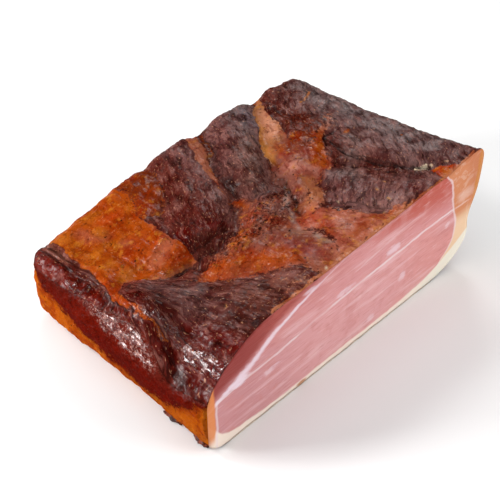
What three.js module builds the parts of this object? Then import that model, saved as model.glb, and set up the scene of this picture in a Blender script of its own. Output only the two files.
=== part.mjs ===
// Smoked ham: a boneless, dry-cured and smoked half of a leg of pork, trimmed to a block, lying on its rind
// and cut once through with a knife. It grew as one piece, so it is one solid.
// Millimetres, +Z up. X runs along the knife cut, the cut looks along -Y and the rind rests on Z = 0.
// The origin is the middle of the block's bounding box, on the surface that it rests on.
import * as THREE from "three";
import { mergeVertices } from "three/addons/utils/BufferGeometryUtils.js";

// The block
const LENGTH = 240; // along the knife cut
const DEPTH = 161; // from the knife cut to the back, before the back swells
const TOP_AT_CUT = { left: 76, middle: 80.5, right: 91 }; // heights of the top, before its edges are rounded
const TOP_MIDWAY = { left: 58, middle: 79, right: 78 };
const TOP_AT_BACK = { left: 44, middle: 74, right: 75 };

// Rounded edges, each a quarter ellipse: how far it reaches in from the side, and up or down the side
const TOP_LEFT_EDGE = { inward: 9, down: 14 };
const TOP_RIGHT_EDGE = { inward: 9, down: 9 };
const TOP_BACK_EDGE = { inward: 11, down: 11 };
const FOOT_LEFT = { inward: 16, down: 22 };
const FOOT_RIGHT = { inward: 48, down: 30 }; // the rind curls up here
const FOOT_BACK = { inward: 22, down: 20 };
const BACK_CORNER = { alongBack: 15, alongEnd: 15 }; // the two upright edges at the back, seen from above

// Slopes, hollows and swellings
const SHOULDER = { inward: 50, drop: 28, wholeUpTo: 27, goneBy: 57 }; // the left end slopes off near the knife cut
const ROLL = { inward: 10, spread: 9, up: 8 }; // past the shoulder, the left end has a roll along its top
const RIND_WAIST = { height: 36, spread: 15, inward: 7 }; // the right end draws in above its foot
const END_REACH = 40; // how far in from the right end its waist is felt
const BACK_BELLY = 3;

// Seams between the muscles of the top: points as shares of the half length and the half depth
const SEAM_DEPTH = 3;
const SEAM_WIDTH = 9;
const SEAMS = [
  [[-0.87, 1.1], [-0.9, 0.6], [-0.92, 0.3], [-0.87, -0.04]], // behind the roll along the left end
  [[-0.6, -0.14], [-0.38, -0.17], [-0.12, -0.04]], // across the middle
  [[0.2, 1.1], [0.06, 0.55], [-0.1, 0.05]],
  [[0.64, 1.1], [0.5, 0.55], [0.24, 0.1], [0.08, -0.15], [-0.06, -0.55]],
  [[0.24, -0.22], [0.43, -0.3], [0.56, -0.56], [0.68, -0.9]],
];

// The mesh
const STEPS_LONG = 44;
const STEPS_DEEP = 30;
const STEPS_HIGH = 14;
const SAME_PLACE = 0.001; // vertices closer than this are one
const BLOCK_HEIGHT = Math.max(...[TOP_AT_CUT, TOP_MIDWAY, TOP_AT_BACK].flatMap(Object.values));

const { lerp, smoothstep } = THREE.MathUtils;
const bell = (distance, spread) => Math.exp(-((distance / spread) ** 2));

// Moves a point of the block's square edge onto a quarter ellipse. The edge runs where axis a is at cornerA and
// axis b is at cornerB; points further in than the ellipse reaches stay where they are.
function roundEdge(point, a, cornerA, reachA, b, cornerB, reachB) {
  const centreA = cornerA - Math.sign(cornerA) * reachA;
  const centreB = cornerB - Math.sign(cornerB) * reachB;
  const shareA = (point[a] - centreA) / (cornerA - centreA);
  const shareB = (point[b] - centreB) / (cornerB - centreB);
  if (shareA <= 0 || shareB <= 0) return;
  point[a] = lerp(centreA, cornerA, shareA * Math.sqrt(1 - shareB ** 2 / 2));
  point[b] = lerp(centreB, cornerB, shareB * Math.sqrt(1 - shareA ** 2 / 2));
}

// Rounds every edge of the block but the two long edges and two upright edges of the knife cut, which stay sharp.
function roundBlock(point) {
  const [left, right, back] = [-LENGTH / 2, LENGTH / 2, DEPTH / 2];
  const [foot, top] = [-BLOCK_HEIGHT / 2, BLOCK_HEIGHT / 2];
  roundEdge(point, "x", left, TOP_LEFT_EDGE.inward, "z", top, TOP_LEFT_EDGE.down);
  roundEdge(point, "x", right, TOP_RIGHT_EDGE.inward, "z", top, TOP_RIGHT_EDGE.down);
  roundEdge(point, "x", left, FOOT_LEFT.inward, "z", foot, FOOT_LEFT.down);
  roundEdge(point, "x", right, FOOT_RIGHT.inward, "z", foot, FOOT_RIGHT.down);
  roundEdge(point, "y", back, TOP_BACK_EDGE.inward, "z", top, TOP_BACK_EDGE.down);
  roundEdge(point, "y", back, FOOT_BACK.inward, "z", foot, FOOT_BACK.down);
  for (const end of [left, right])
    roundEdge(point, "x", end, BACK_CORNER.alongBack, "y", back, BACK_CORNER.alongEnd);
}

// A smooth curve through three values: at share 0, at share 0.5 and at share 1.
function through(first, middle, last, share) {
  const rest = 1 - share;
  return first * rest * (rest - share) + 4 * middle * share * rest + last * share * (share - rest);
}

// How much the left end adds to the height of the top: its shoulder near the knife cut, its roll past that.
function leftEndHeight(x, y) {
  const fromEnd = x + LENGTH / 2;
  const pastShoulder = smoothstep(y + DEPTH / 2, SHOULDER.wholeUpTo, SHOULDER.goneBy);
  const slope = SHOULDER.drop * Math.max(0, 1 - fromEnd / SHOULDER.inward) ** 2;
  return lerp(-slope, ROLL.up * bell(fromEnd - ROLL.inward, ROLL.spread), pastShoulder);
}

// The height of the top above the surface, before its seams.
function topHeight(x, y) {
  const along = x / LENGTH + 0.5;
  const deep = y / DEPTH + 0.5;
  const rows = [TOP_AT_CUT, TOP_MIDWAY, TOP_AT_BACK].map((row) => through(row.left, row.middle, row.right, along));
  return through(...rows, deep) + leftEndHeight(x, y);
}

const seamLines = SEAMS.map((shares) => {
  const points = shares.map(([along, deep]) => new THREE.Vector2((along * LENGTH) / 2, (deep * DEPTH) / 2));
  return new THREE.SplineCurve(points).getPoints(8 * points.length);
});

// How deep the seams lie below the muscles at a place on the top.
function seamDepth(x, y) {
  const place = new THREE.Vector2(x, y);
  const nearest = Math.min(...seamLines.flat().map((point) => point.distanceTo(place)));
  return SEAM_DEPTH * bell(nearest, SEAM_WIDTH);
}

// Shapes one vertex of the square block into the ham. Nothing moves the plane of the knife cut or of the foot.
function shapeVertex(vertex) {
  roundBlock(vertex);
  const up = vertex.z / BLOCK_HEIGHT + 0.5;
  const deep = vertex.y / DEPTH + 0.5;
  const height = up * topHeight(vertex.x, vertex.y);
  const atRightEnd = smoothstep(vertex.x, LENGTH / 2 - END_REACH, LENGTH / 2);
  vertex.x -= RIND_WAIST.inward * atRightEnd * bell(height - RIND_WAIST.height, RIND_WAIST.spread);
  vertex.y += BACK_BELLY * smoothstep(deep, 0.5, 1) * Math.sin(Math.PI * up);
  vertex.z = height - seamDepth(vertex.x, vertex.y) * smoothstep(up, 0.8, 1);
}

function hamGeometry() {
  const block = new THREE.BoxGeometry(LENGTH, DEPTH, BLOCK_HEIGHT, STEPS_LONG, STEPS_DEEP, STEPS_HIGH);
  block.deleteAttribute("normal");
  block.deleteAttribute("uv");
  const ham = mergeVertices(block, SAME_PLACE);
  const places = ham.getAttribute("position");
  const vertex = new THREE.Vector3();
  for (let i = 0; i < places.count; i++) {
    vertex.fromBufferAttribute(places, i);
    shapeVertex(vertex);
    places.setXYZ(i, vertex.x, vertex.y, vertex.z);
  }
  ham.computeBoundingBox();
  const middle = ham.boundingBox.getCenter(new THREE.Vector3());
  ham.translate(-middle.x, -middle.y, -ham.boundingBox.min.z);
  ham.computeVertexNormals();
  return ham;
}

const smokedCrust = new THREE.MeshStandardMaterial({ color: 0x5a241a, roughness: 0.45, metalness: 0 });
const smokedHam = new THREE.Mesh(hamGeometry(), smokedCrust);
smokedHam.name = "smoked_ham";

const part = new THREE.Group();
part.add(smokedHam);

export default part;
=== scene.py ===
import math

import bmesh
import bpy
import numpy as np
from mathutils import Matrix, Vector, noise


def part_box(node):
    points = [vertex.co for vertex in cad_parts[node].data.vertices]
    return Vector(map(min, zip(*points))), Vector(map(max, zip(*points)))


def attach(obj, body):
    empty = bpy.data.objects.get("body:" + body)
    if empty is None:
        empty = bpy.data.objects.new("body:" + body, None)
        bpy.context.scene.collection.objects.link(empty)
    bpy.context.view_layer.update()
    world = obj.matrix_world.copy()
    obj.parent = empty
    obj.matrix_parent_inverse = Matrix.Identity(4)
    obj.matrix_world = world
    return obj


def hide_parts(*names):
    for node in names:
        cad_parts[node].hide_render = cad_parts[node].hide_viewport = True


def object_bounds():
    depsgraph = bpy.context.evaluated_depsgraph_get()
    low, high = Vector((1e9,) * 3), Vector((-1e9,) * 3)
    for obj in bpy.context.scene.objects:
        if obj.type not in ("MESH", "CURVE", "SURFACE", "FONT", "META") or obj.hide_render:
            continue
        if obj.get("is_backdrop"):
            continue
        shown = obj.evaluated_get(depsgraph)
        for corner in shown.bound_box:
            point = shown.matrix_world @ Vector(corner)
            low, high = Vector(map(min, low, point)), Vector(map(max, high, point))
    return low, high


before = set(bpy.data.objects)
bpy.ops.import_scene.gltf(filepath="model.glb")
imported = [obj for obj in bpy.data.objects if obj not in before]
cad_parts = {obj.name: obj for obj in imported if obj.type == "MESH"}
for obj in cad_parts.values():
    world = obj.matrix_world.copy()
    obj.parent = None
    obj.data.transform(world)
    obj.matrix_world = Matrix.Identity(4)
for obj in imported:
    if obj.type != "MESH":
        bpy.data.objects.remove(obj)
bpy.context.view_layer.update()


# The camera
# A fairly long lens that looks down across the knife cut and the left end.
LENS = 72.0
LOOKING_DOWN = math.radians(41)
TURNED = math.radians(45.25)  # from +Y towards +X
AIM = Vector((0.0196, 0.0247, 0.0))
DISTANCE = 0.6818

lens = bpy.data.cameras.new("camera")
lens.lens = LENS
camera = bpy.data.objects.new("camera", lens)
bpy.context.collection.objects.link(camera)
forward = Vector((
    math.sin(TURNED) * math.cos(LOOKING_DOWN),
    math.cos(TURNED) * math.cos(LOOKING_DOWN),
    -math.sin(LOOKING_DOWN),
))
camera.location = AIM - forward * DISTANCE
camera.rotation_mode = "QUATERNION"
camera.rotation_quaternion = forward.to_track_quat("-Z", "Y")
bpy.context.scene.camera = camera


# The block of meat
# A boneless half of a leg of pork, salted, pressed and smoked in one piece, then cut once with a knife.
# Its mesh starts from the plain solid and is made fine enough to be shaped.
MM = 0.001
NODE = "smoked_ham"
TOP_CUTS = 2  # more cuts across each face of the top and the left end
SIDE_CUTS = 1  # the same for the back and the right end
SMOOTHING_ROUNDS = 3
SAME_PLACE = 0.01 * MM
NEARLY_FLAT = math.radians(70)  # triangles that meet at less than this become one face
SHARP_RIM = math.radians(40)  # the knife leaves an edge sharper than this
cut_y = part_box(NODE)[0][1] / MM  # where the knife went through, in millimetres

solid = bmesh.new()
solid.from_mesh(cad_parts[NODE].data)
bmesh.ops.remove_doubles(solid, verts=solid.verts, dist=SAME_PLACE)
bmesh.ops.join_triangles(
    solid, faces=solid.faces, angle_face_threshold=NEARLY_FLAT, angle_shape_threshold=NEARLY_FLAT
)


def on_knife_cut(vert):
    return abs(vert.co.y / MM - cut_y) < 0.01


crease = solid.edges.layers.float.new("crease_edge")
for edge in solid.edges:
    if all(on_knife_cut(vert) for vert in edge.verts) and edge.calc_face_angle(0.0) > SHARP_RIM:
        edge[crease] = 1.0
fine = bpy.data.meshes.new("smoked_ham_flesh")
solid.to_mesh(fine)
solid.free()
ham = bpy.data.objects.new("smoked_ham_flesh", fine)
bpy.context.collection.objects.link(ham)
smoothing = ham.modifiers.new("finer", "SUBSURF")
smoothing.levels = smoothing.render_levels = 1
smoothing.use_creases = True
fine = bpy.data.meshes.new_from_object(ham.evaluated_get(bpy.context.evaluated_depsgraph_get()))
ham.modifiers.clear()
ham.data = fine
fine.name = "smoked_ham_flesh"

solid = bmesh.new()
solid.from_mesh(fine)
skin = [face for face in solid.faces if not all(on_knife_cut(vert) for vert in face.verts)]
seen = [face for face in skin if face.normal.z > 0.15 or face.normal.x < -0.3]
ends = [face for face in skin if face not in set(seen) and face.normal.z > -0.8]
bmesh.ops.subdivide_edges(
    solid, edges=list({edge for face in seen for edge in face.edges}), cuts=TOP_CUTS, use_grid_fill=True
)
ends = [face for face in ends if face.is_valid]
bmesh.ops.subdivide_edges(
    solid, edges=list({edge for face in ends for edge in face.edges}), cuts=SIDE_CUTS, use_grid_fill=True
)
free = [vert for vert in solid.verts if not on_knife_cut(vert) and vert.co.z > 0.05 * MM]
for _ in range(SMOOTHING_ROUNDS):
    bmesh.ops.smooth_vert(solid, verts=free, factor=0.5, use_axis_x=True, use_axis_y=True, use_axis_z=True)
for face in solid.faces:
    face.smooth = True
solid.to_mesh(fine)
solid.free()

count = len(fine.vertices)
places = np.empty(count * 3)
fine.vertices.foreach_get("co", places)
places = places.reshape(-1, 3) / MM
facing = np.empty(count * 3)
fine.vertices.foreach_get("normal", facing)
facing = facing.reshape(-1, 3)
X, Y, Z = places.T.copy()


def step(value, start, end):
    """0 before start, 1 past end and smooth between them; the two may be the other way round."""
    share = np.clip((value - start) / (end - start), 0.0, 1.0)
    return share * share * (3.0 - 2.0 * share)


def bell(distance, width):
    """1 at no distance, falling smoothly to nearly 0 at twice the width."""
    return np.exp(-((distance / width) ** 2))


def lumps(size, octaves=2, seed=0.0, at=None, squeeze=(1.0, 1.0, 1.0)):
    """Random hills and hollows between about -1 and 1 over the ham, `size` mm across."""
    where = (places if at is None else at) * np.array(squeeze) / size + seed
    return np.array([noise.fractal(Vector(row), 1.0, 2.0, octaves) for row in where])


# Every place on the ham belongs to one side of it. The knife cut isn't shaped or smoked.
from_cut = Y - cut_y
on_cut = (from_cut < 0.05) & (facing[:, 1] < -0.4)
top = step(facing[:, 2], 0.10, 0.45)
under = step(facing[:, 2], -0.75, -0.95) * step(Z, 3.0, 0.5)
rest = (1 - top) * (1 - under)
left = rest * step(facing[:, 0], -0.15, -0.4)
right = rest * step(facing[:, 0], 0.15, 0.4)
back = rest * step(facing[:, 1], 0.2, 0.6) * (1 - left) * (1 - right)
SIDES = {"top": (top, (0, 1)), "left": (left, (1, 2)), "right": (right, (1, 2)), "back": (back, (0, 2))}

# The edges between muscles aren't straight: each place is looked up about 2 mm off, in waves of 11 mm and of
# 3.6 mm.
strayed = places + np.stack([
    1.7 * lumps(11, 2, seed) + 0.8 * lumps(3.6, 2, seed + 40) for seed in (3.0, 13.0, 23.0)
], axis=1)


def beside(side, shape):
    """How far each place lies outside a shape, in millimetres; less than 0 is inside it.

    A shape is a line of (u, v, half width), or the outline of an area as (u, v).
    """
    u, v = strayed[:, SIDES[side][1][0]], strayed[:, SIDES[side][1][1]]
    area = len(shape[0]) == 2
    points = [(*point, 0.0) for point in shape + shape[:1]] if area else shape * (2 if len(shape) == 1 else 1)
    nearest = np.full(count, 1e9)
    inside = np.zeros(count, dtype=bool)
    for (u0, v0, r0), (u1, v1, r1) in zip(points, points[1:]):
        du, dv = u1 - u0, v1 - v0
        along = np.clip(((u - u0) * du + (v - v0) * dv) / max(du * du + dv * dv, 1e-9), 0, 1)
        distance = np.hypot(u - u0 - along * du, v - v0 - along * dv) - (r0 + along * (r1 - r0))
        nearest = np.minimum(nearest, distance)
        if area and v0 != v1:
            inside ^= ((v0 > v) != (v1 > v)) & (u < u0 + (v - v0) * du / dv)
    return np.where(inside, -nearest, nearest)


# The muscles of the top
# Several muscles end at the top, and shrink and darken as they dry. Between them lie seams of fat.
# Each seam is a valley with a crease at its bottom: line of x, y and half width, depth of the valley,
# depth of the crease and how dark the painted shade in the crease is.
SEAMS = {
    "first": ([(26, 84, 1.0), (19, 69, 1.2), (13, 58, 1.2), (9, 49, 1.0), (2, 42, 0.6), (-4, 26, 0.5),
               (-9, 8, 0.5)], 2.6, 1.6, 0.45),
    "second": ([(80, 84, 0.6), (65, 66, 0.6), (45, 41, 0.6), (33, 27, 0.5), (26, 10, 0.5), (14, -2, 0.5)],
                3.2, 0.9, 0.35),
    "middle": ([(-66, -19, 0.8), (-60, -13, 0.6), (-50, -14, 0.3)], 2.3, 1.0, 0.4),
    "under first": ([(-50, -16, 0.3), (-38, -16, 0.3), (-32, -14, 0.5), (-26, -9, 0.5), (-19, -3, 0.5),
                     (-17, 6, 0.3)], 2.3, 1.0, 0.35),
    "knot": ([(-74, -14, 0.3), (-68, -12, 0.4), (-66, -18, 1.0), (-67, -25, 0.8)], 0.8, 1.6, 0.6),
    "tip": ([(-107, 3, 0.5), (-100, 9, 0.5), (-93, 3, 0.5), (-88, -6, 0.5), (-79, -13, 0.6),
             (-72, -14, 0.8)], 3.0, 0.8, 0.35),
    "scar": ([(-90, 22, 0.2), (-88, 9, 0.3), (-83, -2, 0.3)], 0.5, 0.6, 0.55),
    "grey": ([(19, -6, 0.4), (13, -14, 0.5), (8, -24, 0.5), (2, -34, 0.4)], 2.2, 1.2, 0.7),
    "third": ([(68, -2, 0.4), (64, -12, 0.3), (63, -20, 0.3), (69, -36, 0.4), (76, -51, 0.5),
               (85, -66, 0.5)], 2.4, 1.4, 0.85),
    "fourth": ([(52, -19, 0.3), (58, -30, 0.3), (65, -42, 0.3), (71, -52, 0.3)], 0.8, 1.2, 0.75),
    "corner": ([(62, -2, 0.5), (70, 5, 0.7), (77, 6, 0.6)], 0.8, 1.2, 0.85),
    "lobe": ([(32, -19, 0.3), (24, -36, 0.3), (18, -46, 0.3), (22, -58, 0.4), (32, -71, 0.3)],
              2.4, 0.4, 0.45),
    "lower left": ([(-78, -27, 0.3), (-66, -42, 0.3), (-50, -56, 0.3)], 2.2, 0.2, 0.0),
    "inner": ([(-24, 84, 0.4), (-29, 66, 0.6), (-31, 54, 0.5), (-38, 42, 0.3), (-52, 31, 0.2)],
               1.8, 0.8, 0.4),
    "roll": ([(-110, 84, 0.4), (-112, 60, 0.6), (-113.5, 40, 0.8), (-114.5, 20, 0.8), (-116, 2, 0.5),
              (-116.5, -14, 0.3)], 1.6, 2.0, 0.6),
    "flap": ([(-104, 80, 0.4), (-105.5, 60, 0.6), (-106.5, 44, 0.5), (-106.5, 32, 0.3), (-110, 20, 0.2)],
              1.4, 1.4, 0.45),
    "slope": ([(-112, -26, 0.3), (-112, -40, 0.5), (-115, -54, 0.6), (-116, -66, 0.4)], 1.0, 0.8, 0.25),
}
VALLEY = 6.5  # half width of a valley
CREASE = 1.3  # half width of the crease at its bottom
CREASE_SHADE_WIDTH = 1.2  # half width of the painted shade there

lift = np.zeros(count)
cracked = np.zeros(count)
for line, valley, sharp, dark in SEAMS.values():
    outside = np.maximum(beside("top", line), 0)
    lift -= top * (valley * bell(outside, VALLEY) + sharp * bell(outside, CREASE))
    cracked = np.maximum(cracked, top * dark * bell(outside, CREASE_SHADE_WIDTH))

# Ridges and crumbs that stand above the rest: line, height, half width of their slope
RIDGES = [
    ([(14, -6, 0.8), (8, -15, 1.0), (4, -22, 1.2), (-1, -30, 0.8)], 1.0, 2.0),
    ([(-79, 7, 0.4), (-72, 10.5, 0.6), (-64, 11, 0.5)], 1.2, 2.2),
    ([(-106, 2, 1), (-100, 5, 1.6), (-94, 1, 1.2)], 1.4, 3.0),
    ([(-92, -2, 1), (-86, -4, 2.0), (-78, -8, 1)], 1.0, 2.5),
    ([(-72, -17, 2), (-76, -22, 2)], 1.6, 3.0),
    ([(-48, -14, 0.5), (-38, -14, 0.5)], 0.8, 1.4),
    ([(80, -60, 1.0), (84, -63.5, 1.0)], 1.4, 0.9),
    ([(86, -65.5, 0.8)], 1.0, 0.8),
    ([(92, -72, 0.6)], 1.0, 0.8),
    ([(80, -2, 1.2), (84, -2, 0.8)], 0.9, 1.0),
]
for line, height, slope in RIDGES:
    lift += top * height * bell(np.maximum(beside("top", line), 0), slope)

# Each muscle's fibres run away from one point, and stand up in ridges as it dries: point, its distance
# from the muscle's middle, height of the ridges and where the muscle is.
MUSCLES = [
    ((-124, -142), 200, 0.35, [(0, 70, 14), (-20, 40, 16), (-42, 10, 14)]),
    ((-63, -140), 200, 0.45, [(50, 74, 20), (28, 40, 14), (6, 6, 10)]),
    ((-104, 16), 70, 0.55, [(-96, -14, 10), (-96, -70, 24), (-70, -60, 14)]),
    ((-119, -164), 200, 0.45, [(34, -34, 12), (50, -56, 20)]),
    ((-5, -193), 200, 0.45, [(104, 10, 20), (98, -60, 16)]),
    ((-45, -110), 200, 0.5, [(92, 76, 16), (86, 40, 12)]),
    ((-70, 50), 110, 0.35, [(4, -50, 10), (16, -74, 20)]),
    ((-210, -90), 190, 0.3, [(-60, -26, 4), (-28, -22, 14), (-2, -20, 8)]),
    ((-60, -160), 200, 0.35, [(66, 62, 4), (50, 36, 8), (40, 6, 14)]),
    ((-100, -300), 340, 0.0, [(-84, 70, 16), (-86, 20, 16)]),
]
closest = np.full(count, 1e9)
across, along, ridge_height = Z + 0.25 * (X - Y), 2.6 * (X + Y) + 0.8 * Z, 0.25 * rest
for (x, y), reach, high, line in MUSCLES:
    away = beside("top", line)
    here = (away < closest) & (top > 0.5)
    closest = np.where(here, away, closest)
    angle = np.arctan2(strayed[:, 1] - y, strayed[:, 0] - x)
    across = np.where(here, angle * reach, across)
    along = np.where(here, np.hypot(strayed[:, 0] - x, strayed[:, 1] - y), along)
    ridge_height = np.where(here, high, ridge_height)

# The slope at the left end and the roll beside it are wet and smooth, so the rest of the relief calms there.
on_slope = top * step(beside("top", [(-111, -26, 2), (-108, -48, 5), (-107, -84, 8)]), 4, -3)
on_roll = (top + left) * step(beside("top", [(-110, 84, 5), (-111, 40, 4), (-113, 14, 3)]), 4, -2)
calm = 1 - 0.75 * np.maximum(on_slope, on_roll)
ridge_height = ridge_height * calm
fibre_places = np.stack([across, 0.14 * along, 0.02 * Z], axis=1)
lift += ridge_height * lumps(2.8, 2, 5.0, at=fibre_places) * 0.85

# Fine wrinkles run beside the fibres, in patches.
WRINKLE = 0.45  # how deep they are
stretched = np.stack([across, 0.35 * along, 0.05 * Z], axis=1)
lined = bell(lumps(8.0, 2, 91.0, at=stretched), 0.13)
lined *= (top + 0.3 * rest) * step(lumps(24.0, 2, 95.0), -0.25, 0.15)
lift -= WRINKLE * lined
# The wrinkles get painted shade too.
cracked = np.maximum(cracked, 0.28 * lined)

# The middle is a knot of small wrinkles; the rest of the top is gently lumpy, and the flap of fat smoother.
# Each line adds a height in mm times lumps of a size in mm, with their octaves and seed.
wrinkled = top * step(beside("top", [(-56, -24, 6), (-24, -24, 12), (4, -18, 10)]), 8, -6)
FAT_FLAP = [
    (-101, 90), (-102, 64), (-104.5, 50), (-106, 32), (-110, 22), (-113, 12), (-115, 2), (-115.5, -12),
    (-113, -16), (-112, -8), (-110, 0), (-106, 4), (-100, 7.5), (-95, 4), (-91, -4), (-82, -10.5),
    (-72, -12), (-64, -13), (-62, -4), (-62, 10), (-61, 22), (-62, 36), (-58, 44), (-52, 56), (-50, 90),
]
fatty = top * step(beside("top", FAT_FLAP), 2, -4)
lift += 1.7 * wrinkled * lumps(5, 3, 31.0) + 0.6 * wrinkled * lumps(2.4, 2, 37.0)
lift += (top + rest) * 1.1 * lumps(14, 2, 51.0)
uneven = 0.5 * lumps(4.5, 2, 61.0) + 0.16 * lumps(2.2, 1, 65.0)
lift += calm * (top * (1 - 0.75 * fatty) + 0.7 * rest) * uneven
lift += fatty * 0.7 * lumps(13, 1, 71.0)
lift += on_slope * 0.85 * lumps(3.4, 2, 79.0, squeeze=(1, 0.13, 1))
shrivelled = 0.8 * lumps(6, 2, 75.0, squeeze=(1, 0.6, 1)) + 0.55 * lumps(3.0, 2, 77.0)
lift += left * calm * step(Z, 22, 34) * shrivelled

# The left end swells by 2.2 mm low down and is hollow by 3 mm below the shoulder.
lift += left * (2.2 * bell(Z - 32, 12) - 3.0 * bell(Z - 58, 10)) * step(Y, 50, 20)

# The foot stays flat and the cut stays a plane; the cut's rim moves with the skin beside it.
lift *= step(Z, 0.0, 4.0)
shift = facing * lift[:, None]
shift[from_cut < 0.05, 1] = 0
shift[on_cut] = 0
places += shift
places[:, 2] = np.maximum(places[:, 2], 0)
fine.vertices.foreach_set("co", (places * MM).ravel())
fine.update()


# The smoked crust
# Smoke and drying turn lean meat purple-brown and its fat orange; where the crust is wet with fat it shines.
# The lean is coloured all over, then the fat, and at last the painted shade in creases and pits and what lies
# on top of both.
LIT = 1.32  # how bright the lamps make a white surface


def colour(red, green, blue):
    """A colour as it looks on a screen under the lamps, as the share of light that the surface gives back."""
    return np.array([
        (((c / 255 + 0.055) / 1.055) ** 2.4 if c > 10 else c / 255 / 12.92) / LIT for c in (red, green, blue)
    ])


DARK_LEAN = colour(80, 30, 22)
BROWN_LEAN = colour(102, 44, 35)
PURPLE_LEAN = colour(120, 76, 72)
# Grey, slate and pale grey lean below are partly the crust's own colour and partly painted sheen.
GREY_LEAN = colour(120, 100, 98)
SLATE_LEAN = colour(132, 116, 122)
GREY_SHEEN_LEAN = colour(130, 108, 106)
PALE_GREY = colour(152, 132, 132)
WARM_GREY = colour(140, 112, 106)
OLIVE_SHADE = colour(84, 60, 46)
MAUVE_LEAN = colour(144, 90, 88)
ROSE_LEAN = colour(134, 84, 76)
DULL_LEAN = colour(124, 70, 58)
SHADED_LEAN = colour(92, 40, 32)
DUSTY_LEAN = colour(168, 116, 108)
DUSTY_CORNER = colour(168, 116, 110)
RED_LEAN = colour(94, 10, 4)
SLOPE_RED = colour(84, 8, 2)
SEAM_RED = colour(74, 6, 3)
WALL_RED = colour(102, 14, 0)
WALL_BROWN = colour(76, 16, 6)
ROLL_BROWN = colour(112, 60, 46)
ORANGE_FAT = colour(162, 66, 6)
BRIGHT_ORANGE = colour(184, 78, 14)
YELLOW_FAT = colour(178, 98, 20)
GOLD_FAT = colour(212, 134, 60)
END_FAT = colour(150, 84, 30)
END_FAT_LOW = colour(196, 132, 62)
BAND_ORANGE = colour(172, 80, 8)
RED_FAT = colour(166, 48, 4)
BRICK_FAT = colour(152, 60, 30)
TAN_FAT = colour(172, 106, 64)
RIDGE_FAT = colour(176, 104, 70)
RIM_FAT = colour(190, 112, 74)
SALMON_FAT = colour(170, 98, 74)
LOBE_FAT = colour(190, 108, 84)
CORNER_FAT = colour(172, 108, 88)
FOLD_FAT = colour(200, 108, 78)
PINK_FAT = colour(142, 80, 66)
ROSE_FAT = colour(210, 138, 120)
PEACH_FAT = colour(226, 152, 120)
MIDDLE_FAT = colour(130, 66, 50)
STAIN = colour(142, 72, 52)
NOSE_PINK = colour(152, 68, 54)
GREY_FAT = colour(140, 112, 98)
SINEW = colour(168, 134, 124)
# Painted shade for creases and pits, and the colour of the pepper on the fat.
SHADE_AND_PEPPER_BLACK = colour(34, 8, 5)
RUST = colour(116, 38, 3)
CREAM_FAT = colour(236, 216, 184)
GRAIN_TAN = colour(200, 146, 98)
RIND = colour(126, 70, 32)

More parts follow.
